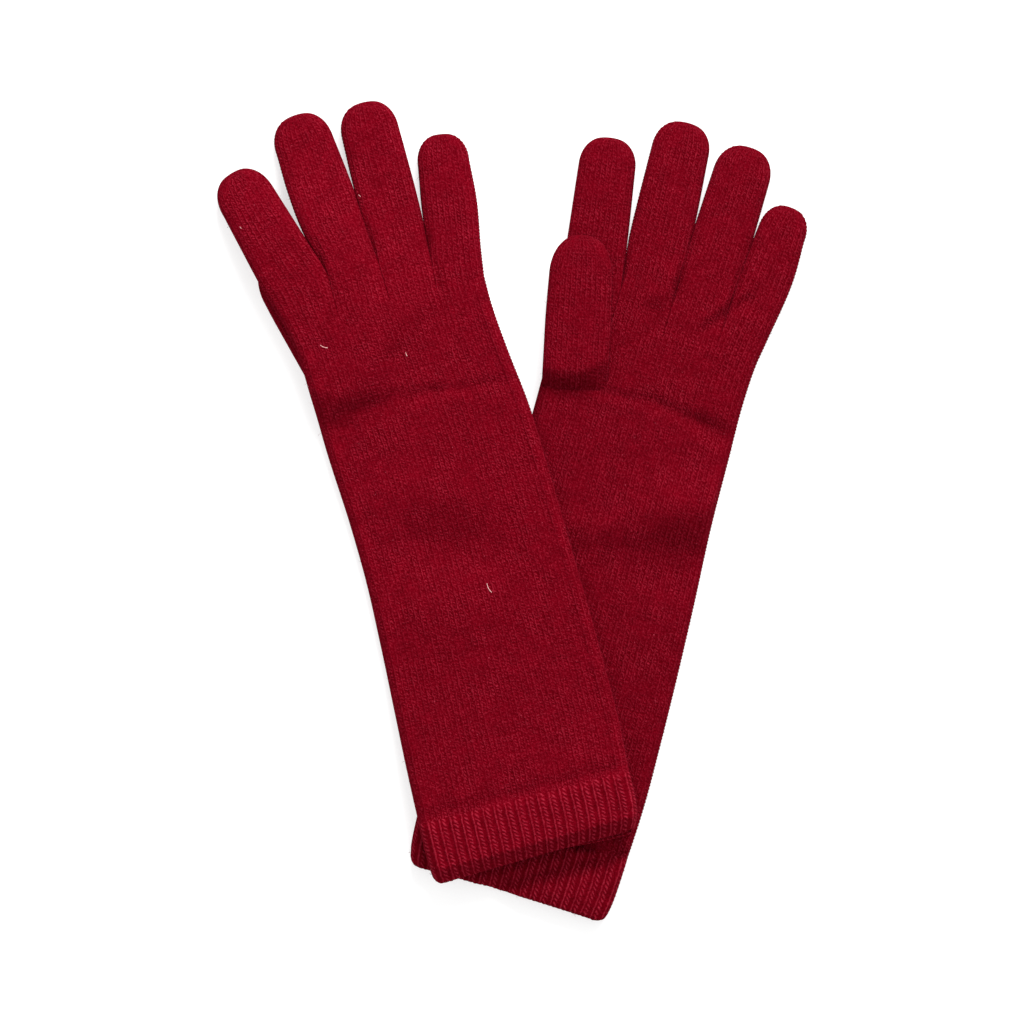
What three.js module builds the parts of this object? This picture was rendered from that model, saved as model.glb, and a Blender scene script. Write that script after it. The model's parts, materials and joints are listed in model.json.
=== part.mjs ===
// A pair of long knitted gloves laid flat, the right glove lying over the left one.
// Millimetres. +Z is up from the table, +Y is the way the pair points, X is across.
// Each glove is drawn in its own plan: u across it, v from the cuff's edge to the fingertips.
import * as THREE from "three";

// The knitted fabric and the room between the upper and lower layers.
const WALL = 1.6;
const HOLLOW = 4.8;
const THICK = 2 * WALL + HOLLOW;
const GAP = 0.3;

// Lengths along a glove.
const CUFF_LENGTH = 29;
const KNUCKLES = 268;
const NOSE_ROUNDNESS = 2.3;

// How the right glove comes down from what it lies on to the table.
const LAYER = THICK + GAP;
const EDGE_CLEARANCE = 1.5;
const SLOPE_BESIDE_GLOVE = 35;
const SLOPE_BESIDE_THUMB = 20;

// How finely a section is divided.
const SIDE_STEPS = 4;
const STATION_STEP = 15;
const NOSE_STEPS = 5;

const RED = { color: 0x7b0a1a, roughness: 0.95, metalness: 0 };
const RIB_RED = { color: 0x730a1b, roughness: 0.95, metalness: 0 };

// arm and hand: [v, left edge, right edge]. A finger: its stations from the knuckles to where
// its nose starts, and its tip [v, u]. thumb: the middle of its base, its tip, and its half width.
const LEFT = {
  side: "left",
  place: [-2, -169.7],
  lean: 15,
  wrist: 212,
  bed: () => 0,
  thumbHeight: LAYER,
  acrossSteps: 1,
  arm: [
    [0, -45.4, 46.0],
    [9, -47.3, 47.6],
    [29, -47.6, 48.4],
    [50, -48.6, 49.8],
    [90, -48.6, 49.7],
    [150, -47.0, 47.8],
    [212, -45.0, 46.2],
  ],
  hand: [
    [212, -45.0, 46.2],
    [240, -45.2, 46.0],
    [258, -46.2, 46.9],
    [268, -47.3, 48.8],
  ],
  fingers: {
    index: { stations: [[268, -47.3, -21.8], [306, -51.8, -25.4], [325, -53.8, -27.8]], tip: [340, -41.4] },
    middle: { stations: [[268, -21.0, 2.5], [300, -23.0, 3.0], [340, -24.5, 1.8]], tip: [355.5, -12.0] },
    ring: { stations: [[268, 3.3, 27.2], [300, 3.9, 29.4], [337, 5.6, 31.2]], tip: [351.5, 18.6] },
    little: { stations: [[268, 28.0, 48.8], [300, 30.2, 53.4], [317, 31.4, 53.6]], tip: [331.5, 43.2] },
  },
  indexBend: 298,
  thumb: { base: [-29.2, 226], tip: [-43.8, 294.3], halfWidth: 15.2 },
};

const RIGHT = {
  side: "right",
  place: [11, -154.4],
  lean: -14.3,
  wrist: 202,
  bed: bedUnderRightGlove,
  thumbHeight: 0,
  acrossSteps: 8,
  arm: [
    [0, -46.6, 46.8],
    [8, -46.8, 49.4],
    [29, -46.6, 50.6],
    [50, -46.2, 51.8],
    [110, -44.2, 51.0],
    [150, -43.4, 49.7],
    [202, -46.2, 46.8],
  ],
  hand: [
    [202, -46.2, 46.8],
    [225, -48.3, 44.1],
    [250, -51.6, 41.8],
    [268, -55.2, 42.8],
  ],
  fingers: {
    index: { stations: [[268, -55.2, -26.3], [299, -61.4, -33.3], [318, -65.8, -38.8]], tip: [333, -54.2] },
    middle: { stations: [[268, -25.5, -3.0], [300, -31.6, -4.9], [335, -34.8, -8.4]], tip: [350.3, -23.4] },
    ring: { stations: [[268, -2.2, 20.2], [300, -4.0, 21.4], [335, -4.6, 21.0]], tip: [348, 8.5] },
    little: { stations: [[268, 21.0, 42.8], [299, 22.9, 47.8], [314, 25.6, 48.2]], tip: [326, 36.6] },
  },
  indexBend: KNUCKLES,
  thumb: { base: [-31.6, 226], tip: [-47.4, 294.3], halfWidth: 15.2 },
};

function smoothStep(x) {
  const t = Math.min(1, Math.max(0, x));
  return t * t * (3 - 2 * t);
}

function toTable(glove, [u, v]) {
  const lean = THREE.MathUtils.degToRad(glove.lean);
  const x = glove.place[0] + u * Math.cos(lean) + v * Math.sin(lean);
  const y = glove.place[1] - u * Math.sin(lean) + v * Math.cos(lean);
  return new THREE.Vector2(x, y);
}

// The height of what lies under the right glove: the left glove to one side of its left edge,
// the right glove's own thumb, and the table elsewhere, with soft slopes between them.
function bedUnderRightGlove(u, v) {
  const point = toTable(RIGHT, [u, v]);
  const low = toTable(LEFT, [LEFT.arm[3][1], LEFT.arm[3][0]]);
  const high = toTable(LEFT, [LEFT.arm[6][1], LEFT.arm[6][0]]);
  const along = high.clone().sub(low).normalize();
  const beside = point.clone().sub(low).cross(along) * -1 - EDGE_CLEARANCE;
  const onGlove = 1 - smoothStep(beside / SLOPE_BESIDE_GLOVE);
  const onThumb = 1 - smoothStep((distanceToThumb(u, v) - EDGE_CLEARANCE) / SLOPE_BESIDE_THUMB);
  return LAYER * (1 - (1 - onGlove) * (1 - onThumb));
}

// Distance outside the right thumb's outline, in plan, with its base taken a little longer so
// that the thumb stays under the raised palm as it swings out.
function distanceToThumb(u, v) {
  const { base, tip, halfWidth } = RIGHT.thumb;
  const start = new THREE.Vector2(...base);
  const axis = new THREE.Vector2(...tip).sub(start);
  const length = axis.length();
  axis.normalize();
  const offset = new THREE.Vector2(u, v).sub(start);
  const s = Math.min(length - halfWidth, Math.max(0, offset.dot(axis)));
  return offset.sub(axis.multiplyScalar(s)).length() - halfWidth;
}

// A value read off stations [v, a, b] by a smooth curve through them.
function readStations(stations, v, column) {
  let i = 0;
  while (i < stations.length - 2 && v > stations[i + 1][0]) i += 1;
  const slope = (k) => {
    const a = stations[Math.max(0, k - 1)];
    const b = stations[Math.min(stations.length - 1, k + 1)];
    return (b[column] - a[column]) / (b[0] - a[0]);
  };
  const [from, to] = [stations[i], stations[i + 1]];
  const run = to[0] - from[0];
  const t = (v - from[0]) / run;
  const h = t * t * (3 - 2 * t);
  const leave = slope(i) * run * t * (1 - t) * (1 - t);
  const arrive = slope(i + 1) * run * t * t * (1 - t);
  return from[column] * (1 - h) + to[column] * h + leave - arrive;
}

// Evenly spaced places from a to b, no further apart than step.
function places(a, b, step) {
  const count = Math.max(1, Math.ceil((b - a) / step));
  return Array.from({ length: count + 1 }, (_, i) => a + ((b - a) * i) / count);
}

// A cut across a flat tube: its ends in plan, and half its thickness.
function cut(left, right, halfThick = THICK / 2) {
  return { left: new THREE.Vector2(...left), right: new THREE.Vector2(...right), halfThick };
}

// One ring of points round a cut: flat above and below, round at both sides.
function ringOf({ left, right, halfThick }, inset, acrossSteps, height) {
  const middle = left.clone().add(right).multiplyScalar(0.5);
  const across = right.clone().sub(left);
  const halfWidth = across.length() / 2 - inset;
  across.normalize();
  const r = Math.min(halfThick - inset, halfWidth);
  const flat = halfWidth - r;
  const profile = [];
  for (const side of [1, -1]) {
    for (let i = 0; i <= SIDE_STEPS; i += 1) {
      const angle = (Math.PI * i) / SIDE_STEPS - Math.PI / 2;
      profile.push([side * (flat + r * Math.cos(angle)), side * r * Math.sin(angle)]);
    }
    for (let i = 1; i < acrossSteps; i += 1) {
      profile.push([side * (flat - (2 * flat * i) / acrossSteps), side * r]);
    }
  }
  return profile.map(([w, z]) => {
    const p = middle.clone().addScaledVector(across, w);
    return [p.x, p.y, z + THICK / 2 + height(p.x, p.y)];
  });
}

// A closed body from an outer and an inner skin, each a list of rings that start at the open end.
// capped closes the far ends of both skins to a point; otherwise the tube is open at both ends.
function tubeGeometry(outer, inner, capped) {
  const points = [];
  const faces = [];
  const n = outer[0].length;
  const addRings = (rings) => rings.map((ring) => points.push(...ring) - n);
  const outerAt = addRings(outer);
  const innerAt = addRings(inner);
  const bridge = (a, b) => {
    for (let i = 0; i < n; i += 1) {
      const j = (i + 1) % n;
      faces.push([a + i, a + j, b + j], [a + i, b + j, b + i]);
    }
  };
  const cap = (ring, at, flip) => {
    const centre = ring.reduce((sum, p) => sum.map((x, k) => x + p[k] / n), [0, 0, 0]);
    const tip = points.push(centre) - 1;
    for (let i = 0; i < n; i += 1) {
      const j = (i + 1) % n;
      faces.push(flip ? [at + j, at + i, tip] : [at + i, at + j, tip]);
    }
  };
  for (let k = 0; k + 1 < outerAt.length; k += 1) bridge(outerAt[k + 1], outerAt[k]);
  for (let k = 0; k + 1 < innerAt.length; k += 1) bridge(innerAt[k], innerAt[k + 1]);
  bridge(outerAt[0], innerAt[0]);
  if (capped) {
    cap(outer.at(-1), outerAt.at(-1), true);
    cap(inner.at(-1), innerAt.at(-1), false);
  } else {
    bridge(innerAt.at(-1), outerAt.at(-1));
  }
  const geometry = new THREE.BufferGeometry();
  geometry.setAttribute("position", new THREE.Float32BufferAttribute(points.flat(), 3));
  geometry.setIndex(faces.flat());
  geometry.computeVertexNormals();
  return geometry;
}

function namedMesh(name, geometry, finish) {
  const mesh = new THREE.Mesh(geometry, new THREE.MeshStandardMaterial(finish));
  mesh.name = name;
  return mesh;
}

// A stretch of a flat tube that is open at both ends, from v = a to v = b.
function openTube(glove, stations, a, b) {
  const cuts = places(a, b, STATION_STEP).map((v) =>
    cut([readStations(stations, v, 1), v], [readStations(stations, v, 2), v]),
  );
  const rings = (inset) => cuts.map((c) => ringOf(c, inset, glove.acrossSteps, glove.bed));
  return tubeGeometry(rings(0), rings(WALL), false);
}

// The cuts of a finger from v = a to its tip. The nose narrows and thins to a rounded end, and
// ends short of the tip by inset.
function fingerCuts(finger, a, inset) {
  const { stations, tip } = finger;
  const shoulder = stations.at(-1);
  const cuts = places(a, shoulder[0], STATION_STEP).map((v) =>
    cut([readStations(stations, v, 1), v], [readStations(stations, v, 2), v]),
  );
  const noseLength = tip[0] - shoulder[0];
  const shoulderMiddle = (shoulder[1] + shoulder[2]) / 2;
  const halfWidth = (shoulder[2] - shoulder[1]) / 2;
  for (let i = 1; i <= NOSE_STEPS; i += 1) {
    const along = Math.sin((Math.PI / 2) * (i / (NOSE_STEPS + 0.4)));
    const left = (1 - along ** NOSE_ROUNDNESS) ** (1 / NOSE_ROUNDNESS);
    const v = shoulder[0] + (noseLength - inset) * along;
    const u = shoulderMiddle + (tip[1] - shoulderMiddle) * along;
    const half = inset + (halfWidth - inset) * left;
    const halfThick = inset + (THICK / 2 - inset) * Math.sqrt(left);
    cuts.push(cut([u - half, v], [u + half, v], halfThick));
  }
  return cuts;
}

function fingerTube(glove, finger, a) {
  const acrossSteps = Math.ceil(glove.acrossSteps / 3);
  const rings = (inset) => {
    return fingerCuts(finger, a, inset).map((c) => ringOf(c, inset, acrossSteps, glove.bed));
  };
  return tubeGeometry(rings(0), rings(WALL), true);
}

// The thumb is drawn upright from the origin, then turned to its own direction on the palm.
function thumbTube(glove) {
  const { base, tip, halfWidth } = glove.thumb;
  const length = Math.hypot(tip[0] - base[0], tip[1] - base[1]);
  const stations = [
    [0, -halfWidth, halfWidth],
    [length * 0.5, -halfWidth, halfWidth],
    [length * 0.78, -halfWidth + 0.6, halfWidth - 0.6],
  ];
  const upright = { stations, tip: [length, 0] };
  const height = () => glove.thumbHeight;
  const rings = (inset) => fingerCuts(upright, 0, inset).map((c) => ringOf(c, inset, 1, height));
  const geometry = tubeGeometry(rings(0), rings(WALL), true);
  geometry.rotateZ(-Math.atan2(tip[0] - base[0], tip[1] - base[1]));
  geometry.translate(base[0], base[1], 0);
  return geometry;
}

// One glove as a group of its knitted parts, turned and placed on the table.
function makeGlove(glove) {
  const group = new THREE.Group();
  const add = (part, geometry, finish = RED) => {
    group.add(namedMesh(`${glove.side}_${part}`, geometry, finish));
  };
  add("cuff", openTube(glove, glove.arm, 0, CUFF_LENGTH - GAP), RIB_RED);
  add("forearm", openTube(glove, glove.arm, CUFF_LENGTH, glove.wrist - GAP));
  add("hand", openTube(glove, glove.hand, glove.wrist, KNUCKLES - GAP));
  add("thumb", thumbTube(glove));
  if (glove.indexBend > KNUCKLES) {
    const root = openTube(
      { ...glove, acrossSteps: Math.ceil(glove.acrossSteps / 3) },
      glove.fingers.index.stations,
      KNUCKLES,
      glove.indexBend - GAP,
    );
    add("index_finger_root", root);
  }
  for (const [name, finger] of Object.entries(glove.fingers)) {
    const start = name === "index" ? glove.indexBend : KNUCKLES;
    add(`${name}_finger`, fingerTube(glove, finger, start));
  }
  group.rotation.z = -THREE.MathUtils.degToRad(glove.lean);
  group.position.set(glove.place[0], glove.place[1], 0);
  return group;
}

// The pair stands with the middle of its bounding box over the origin.
const pair = new THREE.Group();
pair.add(makeGlove(LEFT), makeGlove(RIGHT));
const middle = new THREE.Box3().setFromObject(pair, true).getCenter(new THREE.Vector3());
pair.position.set(-middle.x, -middle.y, 0);

export default pair;
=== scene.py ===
"""A pair of long knitted gloves, laid flat and crossed, the right one over the left one.

Each glove is drawn in its own plan, in millimetres: u runs across it, v from the cuff's edge to the
fingertips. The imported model's wrist joints say where the two plans lie. Every sleeve is a real skin of
stitches: its columns of vertices follow the wales of the knitting and its rows follow the courses.
"""

import json
import math

import bpy
import numpy as np
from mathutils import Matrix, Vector


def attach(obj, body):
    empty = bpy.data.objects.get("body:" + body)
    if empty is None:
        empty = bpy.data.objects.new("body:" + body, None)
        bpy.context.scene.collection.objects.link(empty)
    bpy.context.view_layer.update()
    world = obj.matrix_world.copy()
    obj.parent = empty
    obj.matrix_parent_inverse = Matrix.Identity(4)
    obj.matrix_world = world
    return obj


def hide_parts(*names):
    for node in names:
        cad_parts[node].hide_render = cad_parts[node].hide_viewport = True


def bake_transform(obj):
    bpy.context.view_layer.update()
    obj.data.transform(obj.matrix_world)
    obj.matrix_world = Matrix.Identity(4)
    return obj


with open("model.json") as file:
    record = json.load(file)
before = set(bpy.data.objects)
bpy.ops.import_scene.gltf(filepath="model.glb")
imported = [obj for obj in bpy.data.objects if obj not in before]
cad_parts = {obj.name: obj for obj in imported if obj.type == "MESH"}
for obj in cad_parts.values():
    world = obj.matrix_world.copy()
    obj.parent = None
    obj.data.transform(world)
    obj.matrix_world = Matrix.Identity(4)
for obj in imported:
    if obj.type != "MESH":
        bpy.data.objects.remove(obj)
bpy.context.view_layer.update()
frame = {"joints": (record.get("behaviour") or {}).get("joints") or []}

MM = 0.001

# The knitted fabric.
COURSE = 1.55          # height of one row of stitches
WALE = 2.6             # width of one column of stitches, as the noise in the wool takes it
TOP_WALES = 40         # columns of stitches across one face of a glove
COLUMNS_PER_WALE = 4   # on the upper face
UNDER_PER_WALE = 2     # on the underside
ROWS_PER_COURSE = 3
FABRIC = 1.8           # thickness of one layer
FIBRE_EVERY = 90       # one loose fibre for so many points of the surface
FIBRE_HALF = 0.045     # half the width of a loose fibre
LINT_HALF = 0.13       # and of a piece of lint
RELIEF = 0.34          # how far a stitch's legs stand above the gaps between them
SLANT = 1.3            # rows that a slanting leg crosses from one side of its column to the other
RIB_SLANT = 2.0        # the same in the ribbing, whose columns are wider
RIB_COURSE = 1.25      # how much taller a row of the ribbing is
RIB_DEPTH = 0.16       # how deep the grooves of the ribbing are
WALL_WALES = 1.5       # extra columns down each side of a finger

# Heights.
THICK = 7.2                # both layers and the air between them
TABLE_CLEARANCE = 0.4
LAYER = 8.3                # what lies on a glove, or on a thumb, lies this far above the table
EDGE_CLEARANCE = 1.5
SLOPE_BESIDE_GLOVE = 35.0  # how long the upper glove takes to come down to the table
SLOPE_BESIDE_THUMB = 46.0
SLOPE_BELOW_THUMB = 19.0
SLOPE_ABOVE_ROOT = 6.0     # the slope below the thumb starts this much nearer to its tip

CUFF = 29.0            # length of the ribbed cuff
CORNER = 3.0           # radius of the cuff's corners
SIDE_ROUND = 4.2       # how far in from each side the fabric has reached its full height
SPLIT = 260.0          # where the hand's skin hands over to the fingers'
WRIST_BEND = 14        # the wrist bends over this much on both sides of its joint
THUMB_WALES = 14       # columns of stitches across one face of a thumb
THUMB_NOSE = 18.0      # length of its rounded tip
THUMB_ROOT = 7.0       # and of its rounded root
INNER_STEP = 14        # the inner skin keeps one row of so many

# arm: (v, left edge, right edge) from the cuff to where the fingers begin. splits: u where they part.
# A finger: its edges, likewise, how many degrees it leans, v at which its rounded nose begins, the length
# of that nose, and a span of v (fold). crotches: v of the foot of each gap between fingers.
# thumb: the middle of its root and of its tip, half its width, and whether it lies on top of the palm.
# A crease runs from (u, v) to (u, v) and has a width and a depth, which is below 0 for a swelling.
# gape, roll: how far the cuff's upper layer stands up, and how far its edge rolls down again.
# trim, slant: how far in from v = 0 the cuff's edge lies, and how much less for each millimetre of u.
LEFT = {
    "side": "left",
    "wrist": 212.0,
    "arm": [(0, -45.9, 45.2), (6, -46.8, 46.2), (29, -48.0, 47.9), (54, -48.4, 49.1), (84, -48.2, 49.0),
            (150, -46.6, 47.2), (186, -45.4, 45.6), (215, -44.8, 45.4), (240, -45.0, 45.2),
            (258, -46.0, 46.3), (262, -46.4, 46.8)],
    "splits": [-21.5, 2.8, 27.6],
    "fingers": {
        "index": {"edges": [(278, -48.6, -21.4), (298, -50.8, -24.0), (325, -53.8, -28.2)],
                  "lean": -7.7, "shoulder": 326.5, "nose": 13.8, "fold": (290, 308)},
        "middle": {"edges": [(277, -21.4, 3.0), (300, -23.5, 3.9), (315, -23.9, 3.3), (340, -24.2, 1.6)],
                   "lean": -1.5, "shoulder": 342.0, "nose": 13.6, "fold": (262, 282)},
        "ring": {"edges": [(276, 2.8, 27.9), (300, 3.2, 30.0), (315, 3.9, 30.4), (337, 5.1, 30.8)],
                 "lean": 2.3, "shoulder": 338.0, "nose": 14.2, "fold": (262, 282)},
        "little": {"edges": [(272, 27.6, 48.6), (300, 29.2, 52.8), (317, 31.2, 52.9)],
                   "lean": 6.5, "shoulder": 318.5, "nose": 12.4, "fold": (262, 282)},
    },
    "crotches": [276.5, 276.0, 271.5],
    "thumb": {"base": (-29.2, 225.0), "tip": (-43.8, 294.3), "half": 14.7, "on_top": True},
    "gape": 0.5,
    "roll": 1.2,
    "trim": 0.7,
    "slant": 0.03,
    "creases": [(-14, 228.5, 8, 230, 3.0, 1.0), (12, 229.5, 30, 226, 3.6, 1.1),
                (30, 226, 50, 221, 5.0, 2.0), (-13, 166, 8, 172, 8.0, -2.0),
                (30, 187, 60, 198, 13.0, -6.0), (34, 161, 58, 167, 14.0, 3.4),
                (-10, -2, 44, 29, 3.4, 3.6), (21, 267, 34, 284, 3.2, 1.8),
                (17, 270, 27.5, 285, 3.2, -1.4), (-2.5, 277, -1, 285, 5.0, -2.4),
                (2.9, 272, 3.6, 300, 1.8, 0.9), (27.2, 270, 29, 296, 1.8, 0.9)],
    "seed": 3,
}
RIGHT = {
    "side": "right",
    "wrist": 202.0,
    "arm": [(0, -46.2, 46.4), (6, -46.6, 48.4), (29, -46.6, 50.1), (50, -46.1, 51.3), (80, -45.0, 51.2),
            (110, -43.8, 50.5), (140, -43.0, 49.6), (165, -43.6, 48.8), (202, -45.8, 46.9),
            (225, -46.4, 44.1), (248, -47.6, 42.1), (262, -50.4, 42.0)],
    "splits": [-26.0, -2.6, 20.6],
    "fingers": {
        "index": {"edges": [(278, -55.4, -25.9), (299, -60.6, -32.5), (318, -65.2, -38.7)],
                  "lean": -15.8, "shoulder": 318.0, "nose": 15.3, "fold": (262, 282)},
        "middle": {"edges": [(277, -26.0, -2.3), (299, -31.8, -3.9), (318, -34.0, -5.8), (335, -34.6, -8.0)],
                   "lean": -5.5, "shoulder": 336.5, "nose": 14.5, "fold": (262, 282)},
        "ring": {"edges": [(277, -2.7, 21.0), (300, -4.6, 21.7), (318, -4.8, 21.6), (335, -4.4, 21.3)],
                 "lean": 0.3, "shoulder": 334.8, "nose": 14.2, "fold": (262, 282)},
        "little": {"edges": [(271, 20.5, 43.5), (294, 22.2, 47.3), (314, 25.4, 48.5)],
                   "lean": 8.5, "shoulder": 313.5, "nose": 13.2, "fold": (262, 282)},
    },
    "crotches": [277.0, 277.8, 270.0],
    "thumb": {"base": (-32.0, 237.0), "tip": (-47.2, 294.0), "half": 14.6, "on_top": False},
    "gape": 4.6,
    "roll": 5.0,
    "trim": 2.3,
    "slant": -0.024,
    "creases": [(-28, 215.5, 6, 215, 3.6, 1.2), (8, 214.8, 46, 211, 3.2, 1.0),
                (-10, 147, 2, 144, 13.0, 3.8), (-8, 172, 2, 170, 10.0, -1.6), (-16, 119, 0, 117, 12.0, -1.6),
                (-25.9, 268, -27.5, 292, 1.8, 1.0), (-2.5, 268, -3.6, 292, 1.8, 0.8),
                (20.8, 262, 21.4, 284, 1.8, 0.9)],
    "seed": 8,
}


# ---------------- small mathematics

def smooth(x):
    """An eased step from 0 to 1 as x goes from 0 to 1."""
    t = np.clip(x, 0.0, 1.0)
    return t * t * (3 - 2 * t)


def read(stations, v, column):
    """A value read off stations (v, a, b) by a smooth curve through them."""
    at = np.array([s[0] for s in stations], float)
    value = np.array([s[column] for s in stations], float)
    slope = np.gradient(value, at)
    v = np.asarray(v, float)
    i = np.clip(np.searchsorted(at, v) - 1, 0, len(at) - 2)
    run = at[i + 1] - at[i]
    t = (v - at[i]) / run
    h = t * t * (3 - 2 * t)
    leave = slope[i] * run * t * (1 - t) ** 2
    arrive = slope[i + 1] * run * t * t * (1 - t)
    return value[i] * (1 - h) + value[i + 1] * h + leave - arrive


def soft_noise(u, v, cell, seed):
    """Smooth noise from -1 to 1, in lumps of the given size."""
    rng = np.random.RandomState(seed)
    lattice = rng.uniform(-1, 1, (64, 64))
    x, y = np.asarray(u) / cell + 31.3, np.asarray(v) / cell + 7.7
    i, j = np.floor(x).astype(int), np.floor(y).astype(int)
    fx, fy = smooth(x - i), smooth(y - j)
    a, b = lattice[i % 64, j % 64], lattice[(i + 1) % 64, j % 64]
    c, d = lattice[i % 64, (j + 1) % 64], lattice[(i + 1) % 64, (j + 1) % 64]
    return (a * (1 - fx) + b * fx) * (1 - fy) + (c * (1 - fx) + d * fx) * fy


# ---------------- where the gloves lie

def place_glove(glove):
    """The glove's plan in the row frame: its origin and the directions of u and v, in millimetres."""
    joint = next(j for j in frame["joints"] if j["name"] == f"{glove['side']}_wrist_fold")
    across = np.array(joint["axis"][:2], float)
    along = np.array([-across[1], across[0]])
    at = np.array(joint["pos_m"][:2], float) / MM
    glove["across"], glove["along"] = across, along
    glove["origin"] = at - glove["wrist"] * along


def to_table(glove, u, v):
    """Points of a glove's plan, in the row frame's X and Y."""
    p = np.multiply.outer(u, glove["across"]) + np.multiply.outer(v, glove["along"])
    return p + glove["origin"]


def beside_thumb(glove, u, v):
    """How far down the slope round a thumb a point of the plan lies: up to 0 on the thumb, 1 at the
    slope's foot. The slope is shorter below the thumb's root than beside the thumb."""
    thumb = glove["thumb"]
    base, tip = np.array(thumb["base"]), np.array(thumb["tip"])
    length = np.linalg.norm(tip - base)
    axis = (tip - base) / length
    du, dv = u - base[0], v - base[1]
    s = np.clip(du * axis[0] + dv * axis[1], SLOPE_ABOVE_ROOT, length - thumb["half"])
    distance = np.hypot(du - s * axis[0], dv - s * axis[1]) - thumb["half"] - EDGE_CLEARANCE
    slope = SLOPE_BELOW_THUMB + (SLOPE_BESIDE_THUMB - SLOPE_BELOW_THUMB) * smooth((dv + 4) / 26.0)
    return distance / slope


def bed_under_right(u, v):
    """Height of what lies under the right glove: the left glove, the right thumb, or the table. The left
    glove's left edge is taken as the straight line through two stations of its forearm."""
    p = to_table(RIGHT, u, v)
    (v_low, u_low, _), (v_high, u_high, _) = LEFT["arm"][3], LEFT["arm"][6]
    low, high = to_table(LEFT, u_low, v_low), to_table(LEFT, u_high, v_high)
    along = (high - low) / np.linalg.norm(high - low)
    beside = -((p[..., 0] - low[0]) * along[1] - (p[..., 1] - low[1]) * along[0]) - EDGE_CLEARANCE
    on_glove = 1 - smooth(beside / SLOPE_BESIDE_GLOVE)
    on_thumb = 1 - smooth(beside_thumb(RIGHT, u, v))
    return LAYER * (1 - (1 - on_glove) * (1 - on_thumb))


def bed(glove, u, v):
    """Height of what lies under a glove."""
    return bed_under_right(u, v) if glove["side"] == "right" else np.zeros(np.shape(u))


# ---------------- the shape of the fabric

def crease(u, v, u0, v0, u1, v1, width, depth):
    """How far one crease sinks the fabric, fading out past its ends."""
    du, dv = u1 - u0, v1 - v0
    length = math.hypot(du, dv)
    s = ((u - u0) * du + (v - v0) * dv) / length
    off = ((u - u0) * dv - (v - v0) * du) / length
    beyond = np.maximum(0, np.maximum(-s, s - length))
    return depth * np.exp(-(off / width) ** 2 - (beyond / (1.5 * width)) ** 2)


def wrinkles(glove, u, v):
    """How far the upper layer stands above or below a smooth one. It is fullest just inside its edges."""
    at = np.minimum(v, SPLIT)
    inside = np.minimum(u - read(glove["arm"], at, 1), read(glove["arm"], at, 2) - u)
    fullness = 0.55 * np.exp(-((inside - 3.6) / 2.4) ** 2) * smooth((SPLIT - v) / 20.0)
    seed = glove["seed"]
    height = fullness + 0.45 * soft_noise(u, v, 34, seed) + 0.22 * soft_noise(u, v, 13, seed + 1)
    for one in glove["creases"]:
        height = height - crease(u, v, *one)
    return height


def half_section(half, round_left, round_right, height, count):
    """Evenly spaced points over a flat tube from its left side to its right, as x and a share of height."""
    a = np.linspace(0, np.pi / 2, 16)
    flat = np.linspace(-half + round_left, half - round_right, 12)[1:-1]
    left, right = -half + round_left * (1 - np.cos(a)), half - round_right * (1 - np.cos(a[::-1]))
    x = np.concatenate([left, flat, right])
    z = np.concatenate([np.sin(a), np.ones(len(flat)), np.sin(a[::-1])])
    run = np.concatenate([[0], np.cumsum(np.hypot(np.diff(x), np.diff(z * height)))])
    at = np.linspace(0, run[-1], count)
    return np.interp(at, run, x), np.interp(at, run, z)


def ring(half, rounds, height, top_count, under_count, crown=0.0):
    """One ring of a tube: x, z about its middle, and how much each point belongs to the upper face (1) or
    the lower one (-1). A crown makes the middle stand higher than the sides."""
    x, z = half_section(half, *rounds, height, top_count)
    z = z * (1 + crown * (1 - (x / half) ** 2)) / (1 + crown)
    under_x, under_z = half_section(half, *rounds, height, under_count)
    face = np.concatenate([z, -under_z[::-1][1:-1]])
    return np.concatenate([x, under_x[::-1][1:-1]]), face * height, face


def outward(points):
    """Unit normals of a grid of rings that close round on themselves."""
    along = np.gradient(points, axis=0)
    round_ = np.roll(points, -1, axis=1) - np.roll(points, 1, axis=1)
    n = np.cross(round_, along)
    return n / np.maximum(np.linalg.norm(n, axis=2, keepdims=True), 1e-9)


def plain_stitch(wale, course, slant=SLANT):
    """Height of plain knitting, 0 in the gaps and 1 at most: one leg of each stitch runs straight on into
    the next row's, and the other one lies aslant."""
    a = wale % 1.0
    straight = np.exp(-((a - 0.25) / 0.17) ** 2)
    beads = 0.5 + 0.5 * np.cos(2 * np.pi * (course + slant * a))
    aslant = smooth(1.3 - np.abs(a - 0.68) / 0.26) * beads
    return np.maximum(0.8 * straight, aslant)


def knit_plain(points, wale, course, strength):
    """A grid of points with plain stitches raised on it, fainter in the rows where strength is below 1."""
    relief = RELIEF * plain_stitch(wale[None, :-1], course[:, None]) * strength[:, None]
    return points + outward(points) * relief[..., None]


def rib_stitch(wale, course):
    """The same for ribbing, where each raised column is two wales wide and a groove parts it from the next:
    how raised a point is, 0 to 1, and the height of the stitches on it."""
    r = (wale / 2.0) % 1.0
    raised = smooth((r + 0.02) / 0.14) * smooth((0.96 - r) / 0.2)
    column = np.clip((r - 0.02) / 0.86, 0, 0.99)
    return raised, raised * plain_stitch(column, course / RIB_COURSE, RIB_SLANT)


# ---------------- making meshes

def new_object(name, data):
    obj = bpy.data.objects.new(name, data)
    bpy.context.scene.collection.objects.link(obj)
    return obj


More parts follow.
